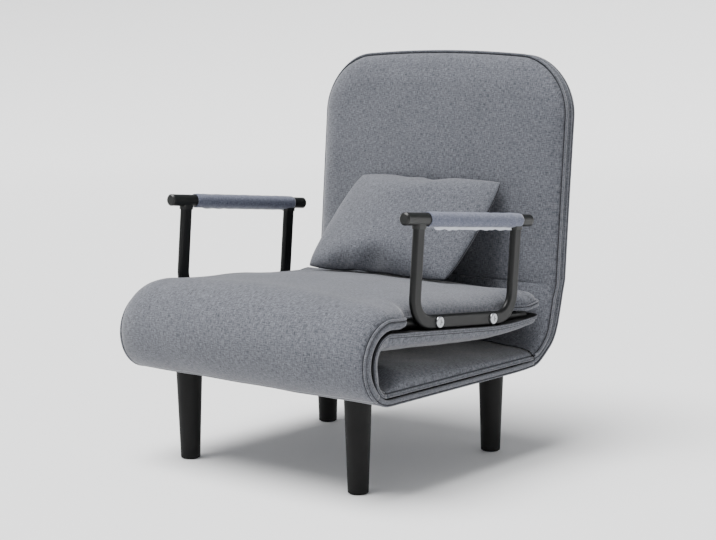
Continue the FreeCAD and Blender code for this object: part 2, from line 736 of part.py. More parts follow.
def outline_rows(start):
    mid = (start + end_rows[0][0]) / 2
    return [(start, half_width, 1.0), (mid, half_width - waist, 1.0)] + end_rows


low_t = back_under
lip_t = back_under + back_lip
rows = [(y, w, low_t, lip_t - soft_gap, lip_t) for y, w, f in outline_rows(back_start)]
cover = cushion(rows)
inner = cushion([(y - strip_width * (y > back_start), w - strip_width, low_t + cover_t,
                  lip_t + cover_t, lip_t + 2 * cover_t) for y, w, f in outline_rows(back_start)])
open_end = block(-strip_in, strip_in, back_start, back_start + strip_width, low_t + cover_t,
                 lip_t + cover_t)
cover = cover.cut(inner.fuse(open_end)).cut(Part.makeCompound(ear_slots + [other_side(s)
                                                             for s in ear_slots]))
save("back_cover", [cover], back_place)
pad_low_t = back_tube_t + tube_r + seam_gap
rows = []
for y, w, f in outline_rows(back_pad_start):
    rows.append((y, w, pad_low_t, back_edge, back_edge + back_crown * f))
pad = cushion(rows)
rim = block(strip_in, half_width - waist, back_pad_start, end_rows[0][0],
            pad_low_t - back_pad_lip, pad_low_t)
save("back_mattress", [pad.fuse(rim).fuse(other_side(rim)).removeSplitter()], back_place)

# Corner between base and back: cover outside, mattress inside, both bend with the ratchet hinge
lean_cos = math.cos(math.radians(back_lean))
lean_sin = math.sin(math.radians(back_lean))


def on_back(s, t):
    """World (y, z) of a point s along the back and t towards the sitter."""
    return (recline_y + s * lean_sin - t * lean_cos, recline_z + s * lean_cos + t * lean_sin)


def corner(outer, inner, x):
    points = outer + list(reversed(inner))
    return panel(points, -x, x)


cover_y = base_y1 + seam_gap
knee = on_back(0, back_under)
knee = (knee[0] - corner_ease, base_under + corner_rise)
outside = bezier((cover_y, base_under), knee, on_back(back_start - seam_gap, back_under), corner_steps)
inside = bezier((cover_y, base_under + cover_t), (knee[0] - cover_t, knee[1] + cover_t),
                on_back(back_start - seam_gap, back_under + cover_t), corner_steps)
save("corner_cover", [corner(outside, inside, half_width)])
pad_y = pad_y1 + seam_gap
pad_s = back_pad_start - seam_gap
bend = on_back(0, pad_low_t)
outside = bezier((pad_y, pad_low), (bend[0] - corner_ease, pad_low + corner_rise),
                 on_back(pad_s, pad_low_t), corner_steps)
front = on_back(pad_s, 0)
inside = bezier((pad_y, pad_end_top), (front[0] - corner_ease, pad_end_top), front, corner_steps)
corner_pad = corner(outside, inside, half_width - waist)
slot = block(slot_x0, strip_in, pad_y - waist, knee[0] + strip_width, base_under, front[1] + waist)
save("corner_mattress", [corner_pad.cut(slot).cut(other_side(slot))])


# Head leg: a U of tube with two rubber feet
def head_leg_body(radius, stub):
    length = recline_z + leg_t - floor_gap - head_foot_r
    top = back_bar + stub
    foot_y = back_bar - length
    turn = foot_y + head_leg_bend
    parts = []
    for side in (-1, 1):
        x = side * head_leg_half
        circle = Part.Face(Part.Wire(Part.makeCircle(radius, Vector(x, turn, leg_t),
                                                     Vector(0, 1, 0))))
        parts.append(circle.extrude(Vector(0, top - turn, 0)))
        centre = Vector(x - side * head_leg_bend, turn, leg_t)
        parts.append(circle.revolve(centre, Vector(0, 0, 1), -90 * side))
    half = head_leg_half - head_leg_bend
    parts.append(rod(Vector(-half, foot_y, leg_t), Vector(half, foot_y, leg_t), radius))
    whole = parts[0]
    for piece in parts[1:]:
        whole = whole.fuse(piece)
    return whole.removeSplitter(), foot_y


head_leg, foot_y = head_leg_body(head_leg_r, head_leg_stub)
hollow, _ = head_leg_body(head_leg_r - tube_wall, head_leg_stub)
head_leg = head_leg.cut(hollow)
for x in (-head_leg_half, head_leg_half):
    head_leg = head_leg.cut(disc(back_bar, leg_t, pin_r + pin_fit, x - pin_end, x + pin_end))
save("head_leg", [head_leg], back_place)
pad_x0 = head_foot_half - head_foot_long / 2
rubber = pipe(Vector(pad_x0, foot_y, leg_t), Vector(pad_x0 + head_foot_long, foot_y, leg_t),
              head_foot_r, head_foot_r - head_leg_r)
save("head_leg_feet", both(rubber), back_place)


# Pillow: a knife-edged cushion, its sides drawn in between the corners
def pillow_section(v, w, h):
    a, b = Vector(-w, v, -pillow_seam / 2), Vector(-w, v, pillow_seam / 2)
    c, d = Vector(w, v, pillow_seam / 2), Vector(w, v, -pillow_seam / 2)
    edges = [Part.makeLine(a, b), arc(b, Vector(0, v, h), c), Part.makeLine(c, d),
             arc(d, Vector(0, v, -h), a)]
    return Part.Wire(edges)


wires = []
turns = 8
for i in range(turns + 1):
    u = i / turns
    swell = math.sin(math.pi * u)
    w = pillow_width / 2 - pillow_waist * swell
    h = pillow_seam + (pillow_thick / 2 - pillow_seam) * swell ** pillow_fullness
    wires.append(pillow_section(u * pillow_height, w, h))
pillow = Part.makeLoft(wires, True, True)
seat_top = Vector(pillow_x, pillow_s, seat_cover_edge + seat_crown + pillow_seat_gap
                  + pillow_seam * math.sin(math.radians(pillow_lean)))
foot = seat_place.multVec(seat_top)
pillow_place = Placement(foot, Rotation(AXIS_X, 90 - pillow_lean))
save("pillow", [pillow], pillow_place)
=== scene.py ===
# %% [markdown]
# # A chair that opens to a bed
# The chair is one long mattress in three sections, folded over itself. The seat section lies
# upside down on the base section, so one sits on its outer cover. The steel frame, the legs and
# the armrests come ready as solids. The soft parts come as plain solids too, so each of them is
# modelled here and takes its solid's place.

# %% Load the frame
import bmesh
import bpy
import json
import math
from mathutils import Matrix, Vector, noise


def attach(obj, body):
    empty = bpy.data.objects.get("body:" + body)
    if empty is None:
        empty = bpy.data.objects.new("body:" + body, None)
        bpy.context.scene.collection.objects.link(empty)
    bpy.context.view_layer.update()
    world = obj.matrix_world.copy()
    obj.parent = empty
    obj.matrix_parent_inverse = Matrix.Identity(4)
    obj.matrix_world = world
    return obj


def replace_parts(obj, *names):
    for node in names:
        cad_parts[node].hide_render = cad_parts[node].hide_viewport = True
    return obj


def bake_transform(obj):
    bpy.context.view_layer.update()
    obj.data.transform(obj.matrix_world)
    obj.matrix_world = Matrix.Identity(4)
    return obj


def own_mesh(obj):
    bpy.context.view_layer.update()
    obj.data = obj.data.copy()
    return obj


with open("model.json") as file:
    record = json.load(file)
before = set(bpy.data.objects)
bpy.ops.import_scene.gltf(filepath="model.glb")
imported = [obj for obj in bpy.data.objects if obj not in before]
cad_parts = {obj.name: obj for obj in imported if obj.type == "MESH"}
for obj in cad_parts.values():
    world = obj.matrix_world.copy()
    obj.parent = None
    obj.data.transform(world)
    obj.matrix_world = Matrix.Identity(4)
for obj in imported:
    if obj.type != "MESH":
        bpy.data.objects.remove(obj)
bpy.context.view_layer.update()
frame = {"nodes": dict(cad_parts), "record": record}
MM = 0.001          # sizes below are in millimetres, where nothing else is said

# %% [markdown]
# The camera comes first. It stands in front of the chair and to its +X side, a little above the
# seat. A short lens close by would make the near leg look much larger than the far one. The real
# picture doesn't, so this lens is long and stands 3.4 m away.

# %% Camera
azimuth, elevation, roll = math.radians(39.3), math.radians(7.76), math.radians(-0.17)
looks_at = Vector((26.3, -7.5, 374.8)) * MM
camera_distance = 3408.5 * MM
sensor_width = 36.0                 # mm, of the camera's sensor
focal_pixels, picture_width = 1710.1, 716

away = Vector((math.sin(azimuth) * math.cos(elevation), -math.cos(azimuth) * math.cos(elevation),
               math.sin(elevation)))
camera = bpy.data.objects.new("camera", bpy.data.cameras.new("camera"))
bpy.context.collection.objects.link(camera)
camera.location = looks_at + away * camera_distance
camera.rotation_mode = "QUATERNION"
camera.rotation_quaternion = away.to_track_quat("Z", "Y")
camera.rotation_mode = "XYZ"
camera.rotation_euler.rotate_axis("Z", roll)
camera.data.sensor_width = sensor_width
camera.data.lens = sensor_width * focal_pixels / picture_width
bpy.context.scene.camera = camera
print("lens", round(camera.data.lens, 1), "mm")

# %% [markdown]
# Colours are written as the hex values that a picture editor shows, and one function turns them
# to the linear light that the shader works in. One more function adds a shader node with its
# settings and links, which keeps a material to a few readable lines.

# %% Colour and node helpers


def linear(code):
    """An sRGB hex colour as linear RGBA."""
    out = []
    for i in (1, 3, 5):
        c = int(code[i:i + 2], 16) / 255
        out.append(c / 12.92 if c <= 0.04045 else ((c + 0.055) / 1.055) ** 2.4)
    return (*out, 1.0)


def add(tree, kind, settings=None, links=None):
    """Adds a node, sets its inputs or options, and links outputs of other nodes to it."""
    node = tree.nodes.new(kind)
    for key, value in (settings or {}).items():
        if isinstance(key, int) or key in node.inputs:
            node.inputs[key].default_value = value
        else:
            setattr(node, key, value)
    for key, source in (links or {}).items():
        tree.links.new(source, node.inputs[key])
    return node


def material(name, colour, roughness, **more):
    """A Principled material. more holds other inputs, with _ for each space in their names."""
    made = bpy.data.materials.new(name)
    made.use_nodes = True
    shader = made.node_tree.nodes["Principled BSDF"]
    shader.inputs["Base Color"].default_value = linear(colour)
    shader.inputs["Roughness"].default_value = roughness
    for key, value in more.items():
        shader.inputs[key.replace("_", " ")].default_value = value
    return made, made.node_tree, shader


print("a mid grey of #808080 is", round(linear("#808080")[0], 3), "in linear light")

# %% [markdown]
# The upholstery is a melange polyester, woven to look like linen: light and dark yarns cross, each
# a little uneven in thickness. It could be drawn thread by thread, but a real yarn is about
# 0.6 mm, too fine for a picture from three metres. So two noises, each stretched one way, cross as
# streaks that are 1.6 mm wide and 9 mm long, and a fine noise of 1.4 mm breaks them up. The
# pattern reads the piece's own UV map, which is in metres of cloth, so it follows every curve.
# The eye gets a dull, soft surface with a faint sheen from the fibre ends.

# %% Woven upholstery cloth
streaks_across, streaks_along = 640, 110    # in a metre of cloth
specks = 700                                # in a metre of cloth
clouds = 14                                 # in a metre of cloth: slow shifts of tone, 70 mm wide


def woven(name, light, dark):
    """A cloth of crossed light and dark yarns."""
    made, tree, shader = material(name, light, 0.92, Sheen_Weight=0.25, Sheen_Roughness=0.45,
                                  Specular_IOR_Level=0.25)
    where = add(tree, "ShaderNodeTexCoord").outputs["UV"]
    yarns = []
    for scale in ((streaks_across, streaks_along, streaks_along),
                  (streaks_along, streaks_across, streaks_along)):
        turned = add(tree, "ShaderNodeMapping", {"Scale": scale}, {"Vector": where})
        yarns.append(add(tree, "ShaderNodeTexNoise", {"Scale": 1.0, "Detail": 3.0},
                         {"Vector": turned.outputs[0]}).outputs[0])
    crossed = add(tree, "ShaderNodeMath", {"operation": "ADD"}, {0: yarns[0], 1: yarns[1]})
    fine = add(tree, "ShaderNodeTexNoise", {"Scale": specks, "Detail": 1.0}, {"Vector": where})
    weave = add(tree, "ShaderNodeMath", {"operation": "MULTIPLY_ADD", 1: 0.5},
                {0: fine.outputs[0], 2: crossed.outputs[0]})
    lightness = add(tree, "ShaderNodeMapRange", {"From Min": 0.95, "From Max": 1.55},
                    {"Value": weave.outputs[0]})
    tones = add(tree, "ShaderNodeMix", {"data_type": "RGBA", 6: linear(dark), 7: linear(light)},
                {0: lightness.outputs[0]})
    broad = add(tree, "ShaderNodeTexNoise", {"Scale": clouds, "Detail": 2.0}, {"Vector": where})
    shade = add(tree, "ShaderNodeMapRange", {"To Min": 0.90, "To Max": 1.10},
                {"Value": broad.outputs[0]})
    uneven = add(tree, "ShaderNodeMix", {"data_type": "RGBA", "blend_type": "MULTIPLY", 0: 1.0},
                 {6: tones.outputs[2], 7: shade.outputs[0]})
    tree.links.new(uneven.outputs[2], shader.inputs["Base Color"])
    bump = add(tree, "ShaderNodeBump", {"Strength": 0.3, "Distance": 1.0 * MM},
               {"Height": weave.outputs[0]})
    tree.links.new(bump.outputs[0], shader.inputs["Normal"])
    return made


cloth = woven("linen_look_polyester", "#6a6c73", "#313339")
sleeve_cloth = woven("sleeve_polyester", "#6e7282", "#414554")
pillow_cloth = woven("pillow_polyester", "#686a71", "#303238")
print("a streak is", round(1000 / streaks_across, 1), "x", round(1000 / streaks_along), "mm")

# %% [markdown]
# Three plain tones show only as thin lines: a dark painted shade sunk in the seams' grooves and
# under the welts, a black painted shadow on the cloth that turns in to the frame, where the gap
# between cover and mattress lies in shade, and the frayed, paler edge of cut cloth. They are
# matt, and too narrow in the picture for a weave to show, so each is one tone.

# %% Painted seam shade, painted gap shadow and cut edge
# a dark painted shade for the seams' grooves, and a black painted shadow for the gap at the frame
painted_seam_shade, _, _ = material("seam_groove_painted_shade", "#2b2c31", 0.9)
painted_gap_shadow, _, _ = material("black_painted_gap_shadow", "#08080a", 0.95)
raw_edge, _, _ = material("raw_cloth_edge", "#b9bcc4", 0.95)
print("narrow textiles:", painted_seam_shade.name, painted_gap_shadow.name, raw_edge.name)

# %% [markdown]
# Coated, moulded and plated surfaces are never quite even. A powder coat flows to a fine orange
# peel, a mould is etched, a plating is cloudy. All of them get the same two noises: a fine one as
# bump, whose grain is a real size, and a broad one that makes the gloss a little patchy.

# %% A finish with a fine grain
patch_scale = 25.0          # in a metre: patches of gloss about 40 mm wide


def textured(name, colour, roughness, grain, depth, **more):
    """A finish with a fine grain, whose size and depth are given in millimetres."""
    made, tree, shader = material(name, colour, roughness, **more)
    where = add(tree, "ShaderNodeTexCoord").outputs["Object"]
    grains = add(tree, "ShaderNodeTexNoise", {"Scale": 1 / (grain * MM), "Detail": 2.0},
                 {"Vector": where})
    patches = add(tree, "ShaderNodeTexNoise", {"Scale": patch_scale, "Detail": 3.0},
                  {"Vector": where})
    rough = add(tree, "ShaderNodeMapRange", {"To Min": roughness - 0.06, "To Max": roughness + 0.08},
                {"Value": patches.outputs[0]})
    tree.links.new(rough.outputs[0], shader.inputs["Roughness"])
    bump = add(tree, "ShaderNodeBump", {"Strength": 0.4, "Distance": depth * MM},
               {"Height": grains.outputs[0]})
    tree.links.new(bump.outputs[0], shader.inputs["Normal"])
    return made


print("patches of gloss are", round(1000 / patch_scale), "mm wide")

# %% [markdown]
# - Powder coat on steel tube: black, half matt. Its orange peel is about 0.4 mm and is drawn
#   twice as coarse, so that it shows.
# - Lacquered legs: the same black, but flatter, with hardly a highlight.
# - Nylon caps: injection moulded, a little glossier, with an etched grain of 2 mm here.
# - Zinc-plated hinges and ratchets, and nickel-plated bolts: metals, the bolts brighter.
# - Rubber feet: dark grey and dull.

# %% Coats, plastics and metals
powder_coat = textured("black_powder_coat", "#070808", 0.42, 0.8, 0.05, Specular_IOR_Level=0.25)
leg_paint = textured("matt_black_leg_lacquer", "#060606", 0.6, 1.2, 0.04, Specular_IOR_Level=0.2)
cap_plastic = textured("moulded_nylon_cap", "#0c0e0d", 0.40, 2.0, 0.08, Specular_IOR_Level=0.35)
zinc = textured("zinc_plated_steel", "#9a9ca0", 0.35, 3.0, 0.03, Metallic=1.0)
nickel = textured("nickel_plated_bolt", "#a2a4a7", 0.3, 1.0, 0.02, Metallic=1.0)
rubber = textured("black_rubber", "#161616", 0.8, 1.0, 0.05)
print("finishes for solids:", len((powder_coat, leg_paint, cap_plastic, zinc, nickel, rubber)))

# %% [markdown]
# Each solid says which kind of material it is made of. Its mesh is right as it is, so it only
# gets the finish that goes with that kind.

# %% Dress the solids
finishes = {
    "leg_plastic": leg_paint, "hinge_steel": zinc, "rubber": rubber, "black_tube": powder_coat,
    "cover_fabric": cloth, "mattress_fabric": cloth, "pillow_fabric": pillow_cloth,
    "sleeve_fabric": sleeve_cloth, "cap_plastic": cap_plastic, "bolt_steel": nickel,
}
for part in frame["record"]["subparts"]:
    for place in frame["nodes"][part["node"]].material_slots:
        place.material = finishes[part["material_slot"]]

# %% [markdown]
# Seen from the side, every soft section is a line with some thickness. It could be a swept curve,
# but a line of points in the (y, z) plane is simpler to lay cloth on: a place on the section is x
# across the chair, u along the line, and h out of it.

# %% Profile


class Profile:
    """A line in the side view. out is 1 or -1: the side of the line that is the cloth's outside."""

    reach = 7.0             # the slope at a place is taken over this far each way

    def __init__(self, points, out):
        self.points, self.out = points, out
        self.at = [0.0]
        for a, b in zip(points, points[1:]):
            self.at.append(self.at[-1] + math.dist(a, b))
        self.length = self.at[-1]

    def point(self, u):
        """(y, z) at u along the line, or on its first or last run carried on."""
        i = 0
        while i < len(self.at) - 2 and self.at[i + 1] < u:
            i += 1
        t = (u - self.at[i]) / (self.at[i + 1] - self.at[i])
        a, b = self.points[i], self.points[i + 1]
        return (a[0] + t * (b[0] - a[0]), a[1] + t * (b[1] - a[1]))

    def place(self, x, u, h):
        """The place in space, in metres, at x across, u along and h out of the line."""
        a, b = self.point(u - self.reach), self.point(u + self.reach)
        c = self.point(u)
        long = math.dist(a, b)
        ny, nz = -(b[1] - a[1]) / long * self.out, (b[0] - a[0]) / long * self.out
        return Vector((x, c[0] + ny * h, c[1] + nz * h)) * MM


ARC_STEPS = 26              # points on each quarter round of the nose


def ellipse(cy, cz, ry, rz, a0, a1):
    """Points on an ellipse from angle a0 to a1; 180 degrees is its front and 90 its top."""
    out = []
    for i in range(ARC_STEPS + 1):
        a = math.radians(a0 + (a1 - a0) * i / ARC_STEPS)
        out.append((cy + ry * math.cos(a), cz + rz * math.sin(a)))
    return out


print("a level line of 10 mm is", Profile([(0, 0), (10, 0)], 1).length, "mm long")

# %% [markdown]
# The seat section falls a little to the rear, and the back leans. Their places are given along
# and across each section, which is how the frame under them is made too. The seat section ends
# free at the rear, where the cloth lifts off the bar.

# %% Places on the seat and on the back
fold_y, fold_z, tilt = -265.0, 264.0, math.radians(5.2)
hinge_y, hinge_z, lean = 246.0, 235.0, math.radians(4.5)
curl_from, curl_over = 300, 184


def on_seat(s, t):
    """(y, z) of a point s along the seat section from the fold and t above it."""
    return (fold_y + s * math.cos(tilt) + t * math.sin(tilt),
            fold_z - s * math.sin(tilt) + t * math.cos(tilt))


def on_back(s, t):
    """(y, z) of a point s up the back from the ratchet hinge and t towards the sitter."""
    return (hinge_y + s * math.sin(lean) - t * math.cos(lean),
            hinge_z + s * math.cos(lean) + t * math.sin(lean))


def curl(s, rise):
    """How far the rear end of the seat section lifts."""
    return rise * max(0.0, (s - curl_from) / curl_over) ** 2


print("the seat's rear end is at", [round(c) for c in on_seat(curl_from + curl_over, 0)])

# %% [markdown]
# The outer cover runs under the base, round the nose in two quarter ellipses, and back over the
# seat. At the rear it turns up into the back in a long bend, whose points are listed one by one,
# because the cloth there is stretched over the frame's corner and follows no true arc.

# %% Lines of the outer cover
nose_z = 257
base_under, base_pitch, base_count = 180.0, 7.1, 66
corner_y = 197                          # where the bend up to the back begins
cover_t, cover_curl = 72.4, 23          # the seat cover over the seat's plane, and its rear end's lift
back_cover_t = -55
seat_steps = range(8, 485, 7)
back_steps = [100 + 6.9 * i for i in range(70)]

under_nose = ellipse(fold_y, nose_z, 73.4, 77, -90, -180)
over_nose = ellipse(-258.4, nose_z, 80, 79.1, 180, 90)
cover_top = Profile(under_nose + over_nose[1:] + [on_seat(s, cover_t + curl(s, cover_curl))
                                                  for s in seat_steps], 1)
base_line = [(corner_y - base_pitch * i, base_under + 2.6 * max(0.0, 1 - i / 10) ** 2)
             for i in range(base_count - 1)]
cover_base = Profile(base_line + under_nose, 1)
bend = [(197, 182.6), (206, 184.4), (216, 188), (228, 195), (243, 205), (258, 216), (268, 226),
        (277, 240), (284, 256), (290, 275), (296, 297), (302, 320)]
cover_back = Profile(bend + [on_back(s, back_cover_t) for s in back_steps if s > 108], -1)
flat_length = corner_y - fold_y         # of the base, from the bend to the fold
print("cover lines:", [round(p.length) for p in (cover_top, cover_base, cover_back)], "mm")

# %% [markdown]
# The mattress lies inside the cover, with the frame between them. Its line is a tighter copy of
# the cover's: round the inside of the nose, flat on the base, and round the inner bend.

# %% Lines of the mattress
base_pad_z, base_pad_pitch = 195.6, 7.3
pad_t, pad_curl = 46.8, 19              # the seat mattress over the seat's plane, and its lift
back_pad_t = -34.4

pad_top = Profile(ellipse(-275, nose_z, 35, 61, -90, -180)
                  + ellipse(-260.6, nose_z, 49.4, 54.0, 180, 90)[1:]
                  + [on_seat(s, pad_t + curl(s, pad_curl)) for s in seat_steps], -1)
pad_base = Profile([(corner_y - base_pad_pitch * i, base_pad_z) for i in range(base_count)], -1)
inner_bend = [(197, 195.6), (207, 197), (218, 201), (230, 209), (242, 219), (253, 231), (261, 246),
              (267, 264), (272, 285), (277, 306)]
pad_back = Profile(inner_bend + [on_back(s, back_pad_t) for s in back_steps], 1)
print("mattress lines:", [round(p.length) for p in (pad_top, pad_base, pad_back)], "mm")

# %% [markdown]
# A section ends at its sides in a seam, a piped welt, a narrow strip, and cloth that turns in to
# the frame. The edge could be a separate strip, but then it would part from the face where the
# section bends. So it is extruded from the face, one step after another. A step says how far out
# and down its rim lies, and which material it is of.

# %% Edges of the sections
# material slots: the cloth, painted shade for the seams' grooves, and a black painted shadow where the
# cloth turns in at the frame
FABRIC, SEAM_SHADE, GAP_SHADOW = 0, 1, 2


def welt(x0, h0, r):
    """The steps round a welt cord of radius r, from its inner to its outer groove."""
    return [(x0 + r * math.cos(math.radians(a)), h0 + r * math.sin(math.radians(a)), FABRIC)
            for a in (150, 110, 70, 30, -10, -50)]


def boxed_edge(strip):
    """Outer cover: groove, welt, groove, strip of that height, then turned in to the frame. The grooves
    take painted shade and the turned-in end a black painted shadow.
    """
    # the seam material paints shade into the grooves, the black one a shadow where the cloth turns in at
    # the frame
    groove = [(0.7, -2.0, SEAM_SHADE), (1.5, -2.0, SEAM_SHADE)]
    low_groove = [(4.6, -4.6, SEAM_SHADE), (4.6, -6.2, SEAM_SHADE), (6.2, -7.0, FABRIC)]
    side = [(6.8, -strip * 0.6, FABRIC), (6.6, -strip * 0.8, FABRIC), (5.8, -strip + 1, FABRIC)]
    turned_in = [(4.2, -strip, FABRIC), (0, -strip - 0.6, FABRIC), (-14, -strip - 0.6, GAP_SHADOW),
                 (-17, -strip - 0.8, GAP_SHADOW), (-17, -strip - 8.0, GAP_SHADOW)]
    return groove + welt(4.4, -1.2, 2.4) + low_groove + side + turned_in


def pad_edge(strip, piped=False):
    """Mattress: groove or welt, strip, welt against the frame, then turned in below."""
    # the seam material paints shade into the grooves, under the strip and round the turn; the black one
    # paints the shadow in the gap below
    groove = [(0.7, -2.0, SEAM_SHADE), (1.9, -2.2, SEAM_SHADE)]
    top = welt(4.6, -1.0, 2.3) + [(4.4, -4.2, SEAM_SHADE)] if piped else [(3.4, -2.2, FABRIC)]
    side = [(4.4, -strip * 0.6, FABRIC), (3.0, -strip + 2.6, SEAM_SHADE)]
    turned_in = [(0.5, -strip - 0.2, SEAM_SHADE), (-20, -strip - 0.2, GAP_SHADOW)]
    return groove + top + side + welt(3.2, -strip + 1.4, 1.8) + turned_in


print("steps of the edges:", len(boxed_edge(18.5)), len(pad_edge(9)), len(pad_edge(12.4, True)))

# %% [markdown]
# Foam under cloth swells from the seam in a round shoulder. Cloth that is pulled over it puckers
# along the seam and lies in long soft waves elsewhere. A cloth simulation could find these folds,
# but it would also shift the edge, which has to meet its neighbours. So they are small heights
# from a fixed noise: every run is the same, and the edge stays.

# %% Crown and puckers
SHOULDER_SHARE = 0.72       # of the crown, gained on the shoulder beside the seam


def ramp(a, b, v):
    """0 up to a, 1 from b on, and a soft step between them."""
    t = min(1.0, max(0.0, (v - a) / (b - a)))
    return t * t * (3 - 2 * t)


def puff(d, shoulder):
    """The share of the crown at a distance d from the seam: a quarter round, then level."""
    u = min(1.0, max(0.0, d / shoulder))
    return SHOULDER_SHARE * math.sqrt(1 - (1 - u) ** 2)


def pucker(x, u, d, along, amount):
    """Height of the cloth's folds. d is the distance from the seam and along runs beside it."""
    fade = math.exp(-max(d, 0.0) / 16)
    calm = min(1.0, max(d, 0.0) / 40)
    wander = noise.noise(Vector((x * 0.02, u * 0.02, 3.1)))
    # puckers about 18 mm apart, waves of 100 mm or more, and creases of about 50 mm
    tight = noise.noise(Vector((along * 0.055, d * 0.012, 7.7 + wander)))
    waves = noise.noise(Vector((x * 0.008, u * 0.010, 1.3)))
    creases = noise.noise(Vector((x * 0.022 + u * 0.006, u * 0.019, 5.9)))
    return amount * (1.5 * fade * min(1.0, d / 5) * tight + calm * (2.6 * waves + 0.9 * creases))


print("the shoulder is half up at", round(next(d for d in range(62) if puff(d, 62) > 0.36)), "mm")

# %% [markdown]
# A section is planned flat, as a cutter lays it out: half width, length, round far corners, a
# slightly arched end and drawn-in sides. The plan also tells how high the cloth stands over each
# place, and which way its edge grows there.

# %% Plan of a section
FAR = 1e9                   # stands for an end that a section doesn't have


def steady(_):
    """Full strength all along a section."""
    return 1.0


def full_width(x, _):
    """A section that nothing presses in."""
    return x


class Section:
    """The plan of a padded section along a profile, with the height of its cloth.

    corner rounds the far end and arch bows it, unless both ends are open. nose_at is where the
    crown starts to count u. squeeze, wavy and thin change width, folds and strip along the way.
    """

    def __init__(self, profile, half, crown, edge, start=0.0, stop=None, corner=0.0, arch=0.0,
                 shoulder=62.0, waist=0.0, squeeze=full_width, wavy=steady, both_open=True,
                 lift=0.0, thin=steady, nose_at=0.0):
        self.profile, self.crown, self.edge = profile, crown, edge
        self.squeeze, self.wavy, self.thin = squeeze, wavy, thin
        self.start, self.corner, self.arch = start, corner, arch
        self.shoulder, self.waist, self.lift = shoulder, waist, lift
        self.both_open, self.nose_at = both_open, nose_at
        reach = max(out for out, _, _ in edge)
        self.width = half - reach
        self.end = (profile.length if stop is None else stop) - (0.0 if both_open else reach)
        self.flat_end = self.end - arch

    def planned(self, a, b):
        """(x, u) for a from -1 to 1 across and b from 0 to 1 along. Rows crowd near the sides."""
        a = a * (1.25 - 0.25 * a * a)
        x, u = a * self.width, self.start + b * (self.flat_end - self.start)
        if self.both_open:
            return x, u
        c = self.corner
        p, q = (abs(x) - (self.width - c)) / c, (u - (self.flat_end - c)) / c
        if p > 0 and q > 0:
            x = math.copysign(self.width - c + c * p * math.sqrt(1 - q * q / 2), x)
            u = self.flat_end - c + c * q * math.sqrt(1 - p * p / 2)
        return x, u

    def outward(self, x, u):
        """The direction across and along in which the edge grows."""
        p, q = abs(x) - (self.width - self.corner), u - (self.flat_end - self.corner)
        if self.both_open or q <= 0:
            return math.copysign(1.0, x), 0.0
        if p <= 0:
            return 0.0, 1.0
        long = math.hypot(p, q)
        return math.copysign(p / long, x), q / long

    def is_sewn(self, e):
        """Whether an edge of the plain grid lies on a seam. The near end is never one."""
        if self.both_open:
            return all(abs(v.co.x) > 0.9999 for v in e.verts)
        return not all(v.co.y < -0.9999 for v in e.verts)

    def to_end(self, u):
        return FAR if self.both_open else self.flat_end - u

    def distance(self, x, u):
        """How far a place is from the seam."""
        dx, du, c = self.width - abs(x), self.to_end(u), self.corner
        return c - math.hypot(c - dx, c - du) if dx < c and du < c else min(dx, du)

    def height(self, x, u):
        """The cloth's height over a place: crown, then waves and puckers."""
        d, v = self.distance(x, u), u - self.nose_at
        inner = max(0.0, 1 - (x / (self.width - self.shoulder)) ** 2)
        if not self.both_open:
            inner *= min(1.0, max(0.0, (self.flat_end - u - self.shoulder * 0.6) / 200)) ** 0.5
        along = v if self.width - abs(x) < self.to_end(u) else x
        h = self.crown(v) * (puff(d, self.shoulder) + (1 - SHOULDER_SHARE) * inner)
        return h + self.wavy(v) * pucker(x, v, d, along, 1.0 - 0.3 * inner)

    def narrow(self, x, u):
        """x with the sides drawn in between the ends."""
        share = min(1.0, max(0.0, (u - self.start) / (self.end - self.start)))
        return x * (1 - self.waist / self.width * math.sin(math.pi * share))

    def lay(self, x, u, h):
        """The place in space of a plan place, with the bowed end and what presses the side."""
        side = max(0.0, 1 - (x / self.width) ** 2)
        bow = self.arch * side * min(1.0, max(0.0, (u - (self.flat_end - 260)) / 260)) ** 2
        return self.profile.place(self.squeeze(x, u), u + bow, h + self.lift)


plain = Section(cover_base, 313, lambda u: 0.0, boxed_edge(13))
print("a section 626 mm wide has a face of", round(2 * plain.width), "mm between its seams")

# %% [markdown]
# Four small helpers are shared by every soft piece: one extrudes a rim, one gives smooth faces
# and the UV map, one makes the object, and one gives the cloth its thickness.

# %% Mesh helpers


def extrude(bm, edges):
    """Extrudes edges once. Gives the new vertices, the edges of the new rim and the faces."""
    made = bmesh.ops.extrude_edge_only(bm, edges=edges)["geom"]
    fresh = {g for g in made if isinstance(g, bmesh.types.BMVert)}
    rim = [g for g in made if isinstance(g, bmesh.types.BMEdge) and set(g.verts) <= fresh]
    return fresh, rim, [g for g in made if isinstance(g, bmesh.types.BMFace)]


def smooth_with_uv(bm, uv):
    """Makes the faces smooth and writes each vertex's place on the flat cloth, in metres."""
    layer = bm.loops.layers.uv.new("UVMap")
    for f in bm.faces:
        f.smooth = True
        for loop in f.loops:
            loop[layer].uv = uv[loop.vert]


def new_piece(bm, name, *finishes):
    """Turns a bmesh into an object at the origin, with these materials in its slots."""
    mesh = bpy.data.meshes.new(name)
    bm.to_mesh(mesh)
    bm.free()
    for finish in finishes:
        mesh.materials.append(finish)
    piece = bpy.data.objects.new(name, mesh)
    bpy.context.collection.objects.link(piece)
    return piece


def thicken(piece, thickness):
    """Gives a cloth its thickness, inwards from the face that shows."""
    shell = piece.modifiers.new("cloth_thickness", "SOLIDIFY")
    shell.thickness, shell.offset = thickness * MM, -1.0


print("upholstery cloth is 1.2 mm thick, the sleeves' 0.8 mm")

# %% [markdown]
# Sewing a section takes a flat grid of 6 mm squares, which is fine enough for the puckers. Each
# vertex is laid on the profile at its height. Then the seam edges are extruded step by step, and
# every new vertex keeps the plan place that it grew from. Last, the faces are turned outwards.

# %% Sew a section
GRID = 6.0


